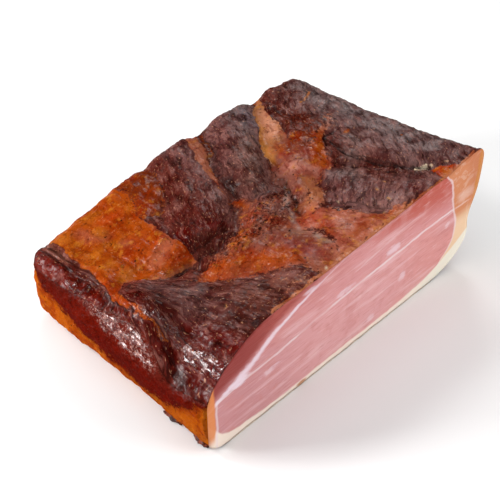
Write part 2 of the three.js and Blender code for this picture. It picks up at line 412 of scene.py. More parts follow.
# Each stroke is a colour, a shape, how far its edge fades in mm and its strength.
LEAN_STROKES = [
    # Painted sheen along the right of the top, over the crust's own grey.
    (GREY_SHEEN_LEAN, [(106, 60, 12), (104, 10, 18), (100, -50, 20)], 14, 0.95),
    (PURPLE_LEAN, [(84, 0, 6), (86, -30, 8), (88, -50, 4)], 12, 0.7),
    (DARK_LEAN, [(76, 80, 3), (72, 62, 4), (70, 46, 4), (66, 36, 4)], 4, 1.0),
    (BROWN_LEAN, [(86, 70, 8), (98, 78, 6)], 8, 0.9),
    (RUST, [(70, 36, 6), (74, 24, 6), (66, 18, 5)], 6, 0.8),
    (BROWN_LEAN, [(94, 54, 5)], 8, 0.8),
    (PURPLE_LEAN, [(62, 90), (52, 84), (26, 84), (17, 68), (12, 58), (8, 49), (2, 42), (-4, 26), (-9, 6),
                   (-6, -8), (8, -12), (20, 6), (30, 22), (45, 41), (64, 65), (80, 84)], 2, 1.0),
    # Painted sheen on the second muscle, in grey and slate over its own colour.
    (GREY_LEAN, [(56, 76, 11), (46, 58, 8), (36, 40, 4)], 8, 0.85),
    (SLATE_LEAN, [(56, 64, 5), (50, 52, 4)], 5, 0.9),
    # Painted shade along the right edge of the second muscle.
    (OLIVE_SHADE, [(28, 34, 7), (16, 20, 8), (2, 6, 7)], 10, 0.65),
    (DARK_LEAN, [(3, 34, 2), (-1, 22, 2.5), (-4, 4, 3)], 5, 0.8),
    (BROWN_LEAN, [(-8, 78, 16), (-18, 55, 14), (-30, 30, 16), (-40, 8, 14)], 5, 1.0),
    (PURPLE_LEAN, [(0, 80, 12), (-6, 58, 8), (-14, 34, 5), (-20, 12, 5), (-24, -2, 4)], 7, 0.9),
    (DARK_LEAN, [(-40, 36, 7), (-36, 22, 7)], 10, 0.6),
    (RED_LEAN, [(-63, 8), (-56, 12), (-51, 8), (-52, 0), (-56, -4), (-64, -8)], 2, 1.0),
    (RED_LEAN, [(-46, 4, 4), (-40, -1, 5), (-34, -7, 3)], 4, 0.9),
    (RED_LEAN, [(-52, 20, 3), (-36, 14, 4)], 7, 0.5),
    (ROSE_LEAN, [(-27, -4, 2), (-22, 6, 3), (-16, 16, 3)], 5, 0.8),
    (DARK_LEAN, [(-104, -6, 8), (-98, -24, 12), (-86, -50, 18), (-74, -74, 20)], 5, 1.0),
    (SLOPE_RED, [(-114, -16, 4), (-114, -50, 6), (-110, -82, 12)], 5, 0.95),
    (RED_LEAN, [(-110, -5), (-106, 1), (-100, -4), (-99, -14), (-104, -20), (-110, -16)], 3, 1.0),
    (RED_LEAN, [(-100, -40, 3), (-98, -60, 5), (-96, -80, 5)], 4, 0.9),
    (RED_LEAN, [(-110, -70, 2.5), (-109, -82, 2.5)], 4, 0.9),
    (PURPLE_LEAN, [(-100, 2, 3), (-94, -8, 5), (-92, -28, 7), (-84, -48, 9)], 7, 0.7),
    # Painted highlight: a grey spot on the lower left muscle.
    (GREY_LEAN, [(-95, -11, 1.6), (-92, -19, 1.4)], 3, 0.9),
    (NOSE_PINK, [(-105, 0, 3), (-98, 3, 3), (-92, -1, 2)], 3, 0.95),
    # Painted highlight: another grey spot on the lower left muscle.
    (GREY_LEAN, [(-86, -32, 2), (-82, -36, 2)], 4, 0.7),
    (DULL_LEAN, [(-68, -46, 6), (-62, -66, 10), (-50, -66, 8)], 7, 0.9),
    (PURPLE_LEAN, [(-62, -54, 4)], 6, 0.7),
    (PURPLE_LEAN, [(33, -25), (40, -21), (46, -23), (51, -28), (62, -36), (76, -62), (80, -84), (48, -80),
                   (33, -71), (22, -58), (18, -46), (25, -36)], 2.5, 1.0),
    (GREY_LEAN, [(38, -22, 3), (45, -30, 4), (46, -38, 3)], 6, 0.8),
    (DUSTY_LEAN, [(32, -66, 5), (40, -72, 5), (50, -74, 3)], 5, 0.8),
    (BROWN_LEAN, [(56, -34, 5), (60, -52, 8)], 7, 0.9),
    (BROWN_LEAN, [(56, -24, 4), (66, -8, 5), (68, 0, 4)], 5, 0.95),
    (SHADED_LEAN, [(67, -34, 4), (74, -54, 4), (80, -64, 2)], 5, 0.9),
    (DUSTY_CORNER, [(75, -76, 4)], 4, 0.8),
    # Painted sheen on the right of the top.
    (PALE_GREY, [(106, 8, 5)], 6, 0.7),
    (WARM_GREY, [(86, -4, 4), (46, -36, 4)], 6, 0.7),
    (RED_LEAN, [(58, -69, 2), (62, -77, 3)], 4, 0.9),
    (PURPLE_LEAN, [(70, -74, 5)], 5, 0.8),
]
FAT_SHAPES = [
    (RUST, [(-62, 36), (-50, 31), (-38, 41), (-32, 52), (-28, 64), (-22, 90), (-50, 90), (-52, 56),
            (-58, 44)], 4, 0.9),
    (ORANGE_FAT, FAT_FLAP, 1.2, 1.0),
    (SALMON_FAT, [(10, 90), (22, 90), (17, 70), (12, 60), (7.5, 50), (2, 43), (-1, 36), (-4, 30), (-9, 24),
                  (-12, 20), (-11, 26), (-8, 33), (-6, 42), (-4, 50), (0, 56), (3, 64), (7, 72)],
                  1.2, 1.0),
    (PINK_FAT, [(-13, 20, 1), (-14, 12, 2)], 3, 0.8),
    (MIDDLE_FAT, [(-78, -27), (-66, -26), (-58, -21), (-48, -22), (-38, -18), (-32, -14), (-26, -9),
                  (-19, -3), (-18, 4), (-15, 12), (-11, 6), (-9, -4), (-2, -12), (8, -14), (15, -5),
                  (20, 2), (22, 8), (26, 12), (18, -26), (8, -42), (-6, -46), (-6, -66), (-12, -84),
                  (-32, -84), (-34, -66), (-62, -44)], 4, 0.8),
    (TAN_FAT, [(80, 90), (72, 74), (64, 65), (55, 53), (45, 41.5), (35, 30), (30, 20), (27, 12), (22, 8),
               (40, 4), (50, 20), (57, 30), (62, 44), (66, 54), (70, 64), (78, 74), (84, 80)], 1.0, 1.0),
    (PINK_FAT, [(22, 8), (32, 12), (46, 18), (58, 26), (56, 12), (56, 0), (52, -16), (46, -22), (40, -20),
                (33, -24), (28, -24), (22, -26), (12, -26), (10, -16), (15, -7), (16, 2)], 4, 0.85),
    (RUST, [(50, 12, 6), (58, 16, 5), (64, 10, 4)], 3, 0.9),
    (ORANGE_FAT, [(44, -13, 4), (48, -9, 3), (54, -2, 3.4), (61, 4, 2.6), (70, 9, 2.4), (76, 13, 2)],
                  2, 1.0),
    (SALMON_FAT, [(78, 13, 3), (86, 18, 3.5), (92, 20, 2)], 5, 0.7),
    (TAN_FAT, [(88, 44, 0.6), (96, 46, 1.0), (103, 50, 0.6)], 1.6, 0.9),
    (RIDGE_FAT, [(30, -18, 1.5), (23, -27, 4.5), (16, -35, 4.5), (6, -39, 2)], 3, 1.0),
    (BRICK_FAT, [(-77, -28), (-70, -26), (-62, -28), (-52, -34), (-45, -37), (-38, -43), (-30, -47),
                 (-26, -52), (-28, -60), (-31, -67), (-36, -68), (-42, -61), (-50, -55), (-60, -47),
                 (-68, -38)], 4, 1.0),
    (LOBE_FAT, [(-8, -42), (2, -40), (12, -41), (16, -46), (19, -54), (26, -65), (33, -72), (42, -76),
                (50, -79), (50, -90), (-18, -90), (-14, -78), (-6, -68), (-5, -56)], 4, 0.9),
    (RED_FAT, [(83, -67), (87, -70), (93, -79), (93, -84), (81, -84), (82, -74)], 1.5, 1.0),
    (ORANGE_FAT, [(-114, -12, 0.9), (-114.5, -28, 0.7), (-113.5, -38, 0.5), (-112, -46, 0.2)], 1.4, 0.9),
    (CORNER_FAT, [(-66, -78, 2), (-54, -77, 4), (-42, -76, 4), (-50, -70, 2)], 7, 0.62),
    (RIM_FAT, [(108, -81, 1.4), (60, -81.5, 1.2), (-40, -81, 1.6), (-70, -81.5, 1.2)], 1.2, 0.9),
]
FAT_TINTS = [
    (YELLOW_FAT, [(-97, 72, 3), (-100, 50, 3), (-95, 42, 3), (-95, 26, 3), (-97, 12, 5)], 5, 0.8),
    (YELLOW_FAT, [(-84, 38, 3), (-86, 30, 3)], 5, 0.7),
    (YELLOW_FAT, [(-74, 68, 4)], 6, 0.6),
    (YELLOW_FAT, [(-66, 44, 2), (-59, 51, 2)], 2.5, 0.8),
    (RED_FAT, [(-72, 56, 5), (-66, 52, 3)], 6, 0.8),
    (RED_FAT, [(-76, 24, 6), (-70, 14, 5)], 7, 0.6),
    (RED_FAT, [(-84, 22, 3), (-110, 14, 2)], 4, 0.7),
    (STAIN, [(-89, 64, 2), (-88, 52, 3), (-84, 46, 3)], 4, 0.8),
    (STAIN, [(-80, 30, 2.5), (-78, 26, 2)], 3, 0.8),
    (YELLOW_FAT, [(-82, 54, 2), (-82, 48, 1.5)], 3, 0.8),
    (FOLD_FAT, [(-80, 2, 2), (-72, 5, 3), (-65, 8, 2.5)], 4, 0.8),
    (RED_FAT, [(-72, -6, 3), (-66, -8, 2)], 3, 0.7),
    (SALMON_FAT, [(-90, -4, 1), (-80, -10.5, 0.8), (-64, -13, 0.8)], 1.5, 0.9),
    (SALMON_FAT, [(-61.5, 26, 0.8), (-61.5, 8, 0.8)], 2, 0.8),
    (SALMON_FAT, [(-106, 4, 0.6), (-100, 8, 0.8), (-95, 5, 0.6)], 1.5, 0.9),
    (NOSE_PINK, [(-105, 0, 2), (-98, 4, 2)], 2, 0.8),
    (RED_FAT, [(-108, 6, 2), (-112, 14, 2)], 4, 0.6),
    (ORANGE_FAT, [(-38, 50, 3), (-36, 46, 2)], 3, 1.0),
    (RED_FAT, [(-52, 46, 4), (-58, 40, 3)], 6, 0.6),
    (ORANGE_FAT, [(-14, 4, 2), (-15.5, -4, 2)], 2, 1.0),
    (ORANGE_FAT, [(-44, -26, 3), (-38, -29, 4), (-33, -16, 2)], 4, 1.0),
    (PINK_FAT, [(-34, -40, 5), (-24, -42, 4)], 6, 0.8),
    (RED_FAT, [(-20, -14, 3), (-24, -18, 3)], 5, 0.6),
    (PURPLE_LEAN, [(-8, -16, 5), (-4, -24, 5)], 5, 0.8),
    (MAUVE_LEAN, [(-24, -50, 2), (-22, -62, 4), (-20, -70, 3)], 4, 1.0),
    (SALMON_FAT, [(-18, -74, 5), (-28, -76, 5)], 5, 0.7),
    (GOLD_FAT, [(62, 63, 0.8), (54, 52, 1.4), (46, 42, 2.0), (37, 31, 1.8), (30, 16, 1.6)], 2, 0.85),
    (PEACH_FAT, [(66, 58, 2), (58, 44, 4), (50, 34, 4)], 4, 0.9),
    (ROSE_FAT, [(28, 3, 4), (36, -14, 3)], 4, 0.8),
    (ORANGE_FAT, [(39, 17, 3.2)], 2, 1.0),
    (RED_FAT, [(36, 13, 1.5), (39, 10, 1)], 3, 0.6),
    (GREY_FAT, [(46, 10, 2)], 4, 0.5),
    (YELLOW_FAT, [(30, 14, 1), (28, 11, 0.6)], 1.5, 0.9),
    (PURPLE_LEAN, [(10, -22, 3), (14, -12, 2)], 5, 0.4),
    (RED_FAT, [(-4, -42, 3), (3, -37, 2), (0, -56, 3)], 4, 0.9),
    (ORANGE_FAT, [(-4, -62, 2.5)], 3, 1.0),
    (ORANGE_FAT, [(7, -73, 3), (24, -71, 2.4), (36, -77, 3)], 4, 0.8),
    (PURPLE_LEAN, [(8, -63, 2.5)], 4, 0.7),
    (GREY_FAT, [(-9, -56, 1.6), (-9.5, -66, 1.6)], 2, 1.0),
    (GREY_FAT, [(-14, -45, 2), (-10, -48, 2)], 3, 0.7),
    (BRIGHT_ORANGE, [(-66, -32, 3), (-56, -36, 4), (-46, -44, 4), (-36, -54, 4), (-32, -60, 3)], 5, 0.95),
    (YELLOW_FAT, [(86, -78, 1.5)], 2, 0.7),
    (SINEW, [(15, -5, 1.0), (9, -15, 1.4), (4, -22, 1.6), (-1, -30, 1.2), (-8, -37, 1.2), (-9, -44, 1.0)],
             1.4, 1.0),
]
TOPMOST = [
    (SEAM_RED, [(24, 80, 1.4), (18.5, 69, 1.5), (13, 58, 1.4), (9, 50, 1.0), (4, 44, 0.4)], 1.0, 1.0),
    (BROWN_LEAN, [(-20, -2, 0.4), (-27, -9, 0.4)], 1.5, 0.6),
    # Painted shade in small pits and cracks.
    (SHADE_AND_PEPPER_BLACK, [(-32, -28, 0.6), (-30, -31, 0.5)], 1.0, 0.9),
    (SHADE_AND_PEPPER_BLACK, [(-24, -36, 0.7), (-22, -34, 0.8)], 1.0, 0.9),
    (SHADE_AND_PEPPER_BLACK, [(-18, -32, 0.7), (-15, -33, 0.5)], 1.0, 0.9),
    (SHADE_AND_PEPPER_BLACK, [(-57, -33, 0.7)], 1.0, 0.9),
    (SHADE_AND_PEPPER_BLACK, [(-55, -37, 0.4), (-55, -39, 0.5)], 0.8, 0.9),
    (SHADE_AND_PEPPER_BLACK, [(20, -2, 0.8)], 1.4, 0.8),
    (SHADE_AND_PEPPER_BLACK, [(33, 3, 0.2), (36, 0, 0.4), (39, -3, 0.2)], 1.0, 0.8),
    (RED_LEAN, [(14, -2, 1.4)], 2.0, 0.8),
    (SHADE_AND_PEPPER_BLACK, [(100, -31, 0.8), (102, -30.5, 0.6)], 1.6, 0.8),
    (SHADE_AND_PEPPER_BLACK, [(101, -38, 1.0), (97, -42, 0.4)], 1.8, 0.5),
    (SHADE_AND_PEPPER_BLACK, [(105, -44, 0.4), (105, -50, 0.4)], 1.4, 0.6),
    (CREAM_FAT, [(80, -60, 1.6), (84, -63.5, 1.6)], 0.3, 1.0),
    (CREAM_FAT, [(87, -66, 1.2)], 0.3, 1.0),
    (CREAM_FAT, [(93, -73, 1.0)], 0.3, 0.9),
    (TAN_FAT, [(80, -2, 1.4), (84, -2, 0.8)], 0.8, 0.9),
    (GRAIN_TAN, [(45, -58, 0.8)], 0.7, 1.0),
    (GRAIN_TAN, [(52, -57, 0.9)], 0.7, 1.0),
    (GRAIN_TAN, [(43, -68, 0.8)], 0.7, 1.0),
    (GRAIN_TAN, [(33, -72, 0.8)], 0.7, 1.0),
    (CREAM_FAT, [(22, -47, 0.7)], 0.7, 0.8),
    (CREAM_FAT, [(-26, -79.5, 0.7)], 0.7, 0.9),
    (GRAIN_TAN, [(-82, -57, 0.5), (-81, -56, 0.5)], 0.6, 0.9),
]
PEPPER = [  # dark specks on the flap of fat: place and size
    (-91, 68, 0.7), (-83, 68, 0.4), (-79, 16, 0.8), (-93, 18, 0.9), (-78, 34, 0.6), (-84, 37, 0.5),
    (-88, 38, 0.5), (-89, 54, 0.7), (-102, 42, 0.5), (-109, 13, 0.6), (-105, 15, 0.5), (-101, 24, 0.4),
    (-67, 42, 0.5), (-68, 15, 0.3), (-79, 47, 0.4), (-90, 30, 0.3), (-71, 28, 0.3), (-86, 60, 0.4),
    (-100, 60, 0.3),
]
ROLL_STROKES = [
    (WALL_RED, [(-119, 90, 6), (-120, 40, 6), (-121, 0, 5), (-122, -20, 4)], 1.5, 1.0),
    (ROLL_BROWN, [(-104, 78, 3.2), (-107, 64, 3.4), (-108, 50, 3.0), (-109.5, 40, 1.8)], 1.6, 0.9),
    (DARK_LEAN, [(-109.5, 44, 2.6), (-110, 32, 2.2), (-112, 20, 1.2), (-114, 8, 0.5)], 1.6, 0.9),
]
WALL_STROKES = [
    (WALL_BROWN, [(75, 44, 6), (46, 48, 8), (24, 56, 4)], 8, 0.85),
    (BROWN_LEAN, [(20, 54, 3), (-20, 54, 8), (-48, 42, 6)], 8, 0.5),
    (RED_LEAN, [(60, 30, 5), (0, 26, 5), (-60, 28, 6)], 7, 0.6),
]
# Where the fat band of the left end stops, as heights along it from the knife cut to the back
BAND_PLACES = [-82, -78, -72, -60, -48, -30, -10, 10, 30, 50, 62, 70, 82]
BAND_HEIGHTS = [46, 41, 36, 26, 18, 16, 17, 19, 23, 28, 32, 37, 46]

lean_tone = np.tile(BROWN_LEAN, (count, 1))
fat_tone = np.tile(ORANGE_FAT, (count, 1))
fat = np.zeros(count)


def tint(tones, tone, amount):
    """Colours the ham by an amount known at each place."""
    tones[:] = tones + (tone - tones) * amount[:, None]


def stroke_on(side, shape, softness, strength, swell=0.0):
    """How much of a stroke comes to each place: its edge fades evenly over twice its softness."""
    ramp = np.clip(0.5 - (beside(side, shape) - swell) / (2 * softness), 0, 1)
    return SIDES[side][0] * ramp * strength


for tone, shape, softness, strength in LEAN_STROKES:
    tint(lean_tone, tone, stroke_on("top", shape, softness, strength))
for tone, shape, softness, strength in FAT_SHAPES:
    fat = np.maximum(fat, stroke_on("top", shape, softness, strength))
    tint(fat_tone, tone, stroke_on("top", shape, softness, 1.0, softness))
for tone, shape, softness, strength in FAT_TINTS:
    tint(fat_tone, tone, stroke_on("top", shape, softness, strength))

tint(lean_tone, WALL_RED, left)
for tone, shape, softness, strength in WALL_STROKES:
    tint(lean_tone, tone, stroke_on("left", shape, softness, strength))
over_band = strayed[:, 2] - np.interp(strayed[:, 1], BAND_PLACES, BAND_HEIGHTS)
band = left * np.clip(0.5 - over_band / 12, 0, 1)
fat = np.maximum(fat * (1 - left), band)
tint(fat_tone, BAND_ORANGE, left)
tint(fat_tone, YELLOW_FAT, 0.7 * left * step(beside("left", [(-80, 12, 4), (-50, 7, 2), (-30, 6, 1)]), 4, -4))
tint(fat_tone, RUST, 0.9 * left * step(over_band, -9, 3))

tint(lean_tone, PURPLE_LEAN, 0.5 * back * step(lumps(20, 2, 81.0), -0.3, 0.3))
tint(lean_tone, DARK_LEAN, 0.7 * (back + right) * step(lumps(26, 2, 85.0), 0.0, 0.5))
over_back_band = strayed[:, 2] - 16 - 7 * np.sin(X / 31)
fat = np.maximum(fat, back * np.clip(0.5 - over_back_band / 8, 0, 1))
over_rind = strayed[:, 2] - 36 - 5 * np.sin(Y / 27)
fat = np.maximum(fat, 0.85 * right * np.clip(0.5 - over_rind / 14, 0, 1))
tint(fat_tone, END_FAT, right)
tint(fat_tone, END_FAT_LOW, right * step(Z, 20, 4))
tint(lean_tone, RIND, 0.6 * right * step(Z, 56, 40))
tint(lean_tone, RIND, under)

for strokes in (ROLL_STROKES, TOPMOST):
    for tone, shape, softness, strength in strokes:
        amount = stroke_on("top", shape, softness, strength)
        tint(lean_tone, tone, amount)
        tint(fat_tone, tone, amount)
        fat = fat * (1 - amount) if strokes is ROLL_STROKES else np.maximum(fat, amount)
for x, y, size in PEPPER:
    amount = stroke_on("top", [(x, y, size)], 0.6, 0.95)
    tint(fat_tone, SHADE_AND_PEPPER_BLACK, amount)

# Where the crust is wet: on the left end, on the slope beside it and along a few ridges.
WET_STROKES = [
    ([(-112, -24, 2), (-108, -46, 4), (-107, -84, 8)], 4, 0.74),
    ([(-118, 84, 4), (-120, 0, 4)], 3, 0.45),
    ([(-79, 7, 0.4), (-72, 10.5, 0.6), (-64, 11, 0.5)], 1.2, 1.0),
    ([(-74, 2, 5)], 4, 0.5),
    ([(-90, -2, 1), (-84, -4, 2), (-76, -9, 1)], 3, 0.8),
    ([(-106, 2, 1), (-100, 5, 1.4), (-93, -2, 1)], 2, 0.6),
    ([(-48, -14, 0.4), (-38, -14, 0.4)], 1.2, 1.0),
    ([(-95, -14, 2)], 4, 0.4),
    ([(-60, 0, 4), (-42, -2, 5)], 3, 0.35),
    ([(58, 62, 6), (52, 54, 4)], 6, 0.25),
    ([(46, -12, 3), (54, -2, 3), (39, 17, 3)], 3, 0.5),
]
GLOSS_PATCH = [(22, 53, 2), (4, 51, 6), (-18, 49, 9), (-36, 44, 3)]
glossy = left * step(Z, 16, 34) * step(beside("left", GLOSS_PATCH), 7, -3)
wet = np.maximum(0.04 * left + 0.66 * glossy, 0.26 * (right + back))
for shape, softness, strength in WET_STROKES:
    wet = np.maximum(wet, stroke_on("top", shape, softness, strength))


def store(name, values, kind="FLOAT", field="value"):
    """Keeps a value for each place on the ham's mesh, where the material reads it."""
    attribute = fine.attributes.new(name, kind, "POINT")
    attribute.data.foreach_set(field, np.ascontiguousarray(values, dtype=np.float32).ravel())


for name, tones in (("lean_tone", lean_tone), ("fat_tone", fat_tone)):
    store(name, np.hstack([np.clip(tones, 0, 1), np.ones((count, 1))]), "FLOAT_COLOR", "color")
for name, values in (
    ("fat", fat), ("wet", wet), ("cracked", cracked), ("wrinkled", wrinkled), ("on_left", left),
    ("glossy", glossy), ("across", across * MM), ("along", along * MM),
):
    store(name, values)


class Value:
    """One value in a material. Sums written on it become Math nodes."""

    def __init__(self, finish, socket):
        self.finish, self.socket = finish, socket

    def sum(self, operation, first, second):
        return self.finish.node("Math", {"operation": operation}, {0: first, 1: second})

    def __add__(self, other):
        return self.sum("ADD", self, other)

    __radd__ = __add__

    def __sub__(self, other):
        return self.sum("SUBTRACT", self, other)

    def __rsub__(self, other):
        return self.sum("SUBTRACT", other, self)

    def __mul__(self, other):
        return self.sum("MULTIPLY", self, other)

    __rmul__ = __mul__

    def __truediv__(self, other):
        return self.sum("DIVIDE", self, other)


class Finish:
    """A material and the nodes that make it."""

    def __init__(self, name):
        self.material = bpy.data.materials.new(name)
        self.material.use_nodes = True
        self.tree = self.material.node_tree
        self.shader = self.tree.nodes["Principled BSDF"]

    def node(self, kind, settings=None, inputs=None, output=0):
        """Adds a node: its settings first, then its sockets, each a number, a colour or another's value."""
        node = self.tree.nodes.new("ShaderNode" + kind)
        for name, value in (settings or {}).items():
            if name == "curve":
                points = node.mapping.curves[0].points
                while len(points) < len(value):
                    points.new(1.0, 1.0)
                for point, place in zip(points, value):
                    point.location = place
                node.mapping.update()
            else:
                setattr(node, name, value)
        for name, value in (inputs or {}).items():
            if isinstance(value, Value):
                self.tree.links.new(value.socket, node.inputs[name])
            else:
                node.inputs[name].default_value = value
        return Value(self, node.outputs[output])

    def band(self, value, start, end):
        """0 before start, 1 past end and smooth between them."""
        return self.node("MapRange", {"interpolation_type": "SMOOTHSTEP"}, {0: value, 1: start, 2: end})

    def blend(self, under, over, amount):
        """Lays one colour over another."""
        def tone(value):
            return value if isinstance(value, Value) else (*value, 1.0)
        return self.node("Mix", {"data_type": "RGBA"}, {0: amount, 6: tone(under), 7: tone(over)}, 2)

    def layered(self, under, layers):
        """Lays colours over one another; each comes with how much of it shows."""
        for over, amount in layers:
            under = self.blend(under, over, amount)
        return under

    def noise(self, where, across, detail=2.0, rough=0.5, warp=0.0):
        """Random cloudiness from 0 to 1, `across` mm from hill to hill."""
        return self.node("TexNoise", {}, {
            "Vector": where, "Scale": 1 / (across * MM), "Detail": detail,
            "Roughness": rough, "Distortion": warp,
        })

    def stored(self, name, output=2):
        return self.node("Attribute", {"attribute_name": name}, {}, output)

    def finish_with(self, shader):
        """Makes a shader what the material shows."""
        self.tree.links.new(shader.socket, self.tree.nodes["Material Output"].inputs["Surface"])

    def set(self, **sockets):
        """Sets the shader's own sockets; an underscore stands for a space in a name."""
        for name, value in sockets.items():
            socket = self.shader.inputs[name.replace("_", " ")]
            if isinstance(value, Value):
                self.tree.links.new(value.socket, socket)
            else:
                socket.default_value = value


crust = Finish("smoked_crust")
here = crust.node("TexCoord", {}, {}, 3)
lean, flesh_fat = crust.stored("lean_tone", 0), crust.stored("fat_tone", 0)
fat_here, wet_here, crease_shade_here, wrinkled_here, left_here = (
    crust.stored(name) for name in ("fat", "wet", "cracked", "wrinkled", "on_left")
)

RED_SHADOW = colour(70, 10, 5)
BROWN_SHADOW = colour(36, 10, 8)
DRY_ROSE = colour(164, 108, 98)
# The groove and pit colours are painted shade; the salt tan is partly painted glints on the grains.
GROOVE_SHADE = colour(36, 9, 7)
PIT_SHADE = colour(14, 4, 3)
SALT_AND_GLINT_TAN = colour(222, 158, 120)
SMOKE_RED = colour(130, 26, 2)
GOLDEN = colour(212, 134, 40)
STREAK_BROWN = colour(110, 38, 14)
STREAK_ORANGE = colour(190, 88, 24)
DUST_TAN = colour(222, 150, 96)
DUST_BROWN = colour(66, 14, 5)
SPECK_BLACK = colour(30, 8, 4)
WRINKLE_SHADE = colour(20, 7, 6)
WRINKLE_TAN = colour(232, 168, 134)
FILM_AND_HIGHLIGHT_ROSE = colour(206, 152, 138)
SPECKS_APART = 8  # mm between specks of pepper on the fat
GRAIN_HEIGHT = 1.1  # mm
WET_HEIGHT = 2.2  # mm


def fibre_noise(size, stretch, detail, rough):
    """Random cloudiness that is drawn out along the fibres of each muscle."""
    drawn_out = crust.stored("along") * (1 / stretch)
    where = crust.node("CombineXYZ", {}, {0: crust.stored("across"), 1: drawn_out, 2: 0.0})
    return crust.noise(where, size, detail, rough)


grain = fibre_noise(1.1, 2.2, 3.0, 0.60)
streaks = fibre_noise(2.6, 4.5, 3.0, 0.62)
mottle = fibre_noise(5.0, 3.2, 3.0, 0.60)
dust = crust.noise(here, 2.4, 4.0, 0.72)
blots = crust.noise(here, 6.0, 3.0, 0.6)
cloud = crust.noise(here, 13.0, 3.0, 0.55)
pits = crust.noise(here, 1.8, 3.0, 0.62, 0.5)
specks = crust.node("TexVoronoi", {}, {"Vector": here, "Scale": 1 / (SPECKS_APART * MM), "Randomness": 1.0})
lean_only = 1 - left_here
fat_now = crust.band(fat_here + (dust - 0.5) * 1.4 + (streaks - 0.5) * 0.8, 0.34, 0.66)

# Tan grains of dried juice and pepper, partly painted glints, stand on the lean between pits and grooves of
# painted shade; the fat is clean, with a few specks.
lean = crust.layered(lean, [
    (RED_SHADOW, crust.band(cloud, 0.55, 0.36) * (0.66 - 0.3 * left_here)),
    (BROWN_SHADOW, crust.band(mottle, 0.48, 0.34) * (0.66 - 0.35 * left_here)),
    (DRY_ROSE, crust.band(mottle + 0.4 * (streaks - 0.5), 0.53, 0.70) * lean_only * 0.44),
    (GROOVE_SHADE, crust.band(streaks, 0.48, 0.35) * (0.52 - 0.25 * left_here)),
    (PIT_SHADE, crust.band(grain, 0.42, 0.33) * (0.70 - 0.4 * left_here)),
    (SALT_AND_GLINT_TAN, crust.band(grain, 0.60, 0.70) * (0.55 - 0.45 * left_here)),
])
flesh_fat = crust.layered(flesh_fat, [
    (SMOKE_RED, crust.band(cloud, 0.54, 0.36) * 0.60),
    (GOLDEN, crust.band(blots, 0.54, 0.72) * 0.42),
    (STREAK_BROWN, crust.band(streaks, 0.46, 0.33) * (0.48 - 0.2 * left_here)),
    (STREAK_ORANGE, crust.band(streaks, 0.54, 0.68) * 0.35),
    (DUST_TAN, crust.band(dust, 0.56, 0.72) * (0.40 - 0.25 * left_here)),
    (DUST_BROWN, crust.band(dust, 0.42, 0.32) * 0.70),
    (SPECK_BLACK, crust.band(specks, 0.10, 0.05) * 0.9),
])

# Both get painted shade in the wrinkles and cracks, and the middle of the left end has a grey film of dried
# juice with painted highlights in it.
# A painted highlight over a real film of dried juice on the glossy middle of the left end.
film_and_highlight = crust.band(pits + 0.6 * (dust - 0.5), 0.48, 0.66) * crust.stored("glossy")
tone = crust.layered(crust.blend(lean, flesh_fat, fat_now), [
    (WRINKLE_SHADE, wrinkled_here * crust.band(pits, 0.47, 0.37) * 0.90),
    (WRINKLE_TAN, wrinkled_here * crust.band(pits, 0.57, 0.72) * 0.55),
    (SHADE_AND_PEPPER_BLACK, crust.band(crease_shade_here + (dust - 0.5) * 1.8, 0.35, 0.95) * 0.9),
    (FILM_AND_HIGHLIGHT_ROSE, film_and_highlight * 0.62),
])

fibrous = (grain + streaks * 1.5) * (1 - 0.75 * fat_now)
bumps = fibrous + dust * (0.6 + 0.6 * fat_now) + pits * wrinkled_here * 1.6
relief = crust.node("Bump", {}, {"Strength": 1.0, "Distance": GRAIN_HEIGHT * MM, "Height": bumps})
crust.set(Base_Color=tone, Roughness=0.9, Normal=relief, Specular_IOR_Level=0.0)

# The glaze is juice and melted fat that dried on the crust: a thin sheen on the top, and wet enough in places
# to break the light into sparks.
drops = crust.noise(here, 2.4, 2.0, 0.5, 0.4)
lengthways = crust.node("Mapping", {}, {"Vector": here, "Scale": (1.0, 0.18, 1.0)})
folds = crust.noise(lengthways, 3.6, 2.0, 0.5, 0.3)
soaked = crust.band(wet_here + (folds - 0.5) * 1.5 + (blots - 0.5) * 0.9 + (dust - 0.5) * 0.5, 0.42, 0.72)
glaze_height = folds * (0.35 + 0.55 * soaked) + drops * (0.10 + 0.16 * soaked)
glaze_relief = crust.node("Bump", {}, {"Strength": 1.0, "Distance": WET_HEIGHT * MM, "Height": glaze_height})
glaze = crust.node("BsdfPrincipled", {}, {
    "Base Color": tone, "Roughness": 0.28 - 0.14 * soaked - 0.06 * fat_now + 0.1 * (dust - 0.5),
    "Normal": glaze_relief, "Specular IOR Level": 0.50,
})
sheen = 0.03 + 0.26 * lean_only * crust.band(streaks + 0.6 * (cloud - 0.5), 0.40, 0.62)
wet_now = crust.node("Math", {"operation": "MAXIMUM"}, {0: soaked, 1: sheen})
dry = Value(crust, crust.shader.outputs["BSDF"])
crust.finish_with(crust.node("MixShader", {}, {0: wet_now, 1: dry, 2: glaze}))


# The knife cut
# Lean meat with its fibres lying along the cut, seams of white fat between the muscles, and a layer of
# cream fat and the rind at the foot. The curves run from the left end of the cut to the right end.
cut = Finish("knife_cut")
here = cut.node("TexCoord", {}, {}, 3)
WIDTH, TALL = 240.0, 100.0  # the stretch of the cut that the curves span
waver = cut.noise(here, 14.0, 2.0) - 0.5
ripple = cut.noise(here, 4.0, 2.0) - 0.5
x = cut.node("SeparateXYZ", {}, {0: here}, 0) / MM + waver * 3.0
z = cut.node("SeparateXYZ", {}, {0: here}, 2) / MM + waver * 3.0 + ripple * 1.0
along = x / WIDTH + 0.5
fibres = cut.node("Mapping", {}, {"Vector": here, "Rotation": (0.0, 0.10, 0.0), "Scale": (0.10, 1.0, 1.0)})
torn = cut.noise(cut.node("Mapping", {}, {"Vector": here, "Scale": (0.4, 1.0, 1.0)}), 3.2, 3.0, 0.6, 0.5)


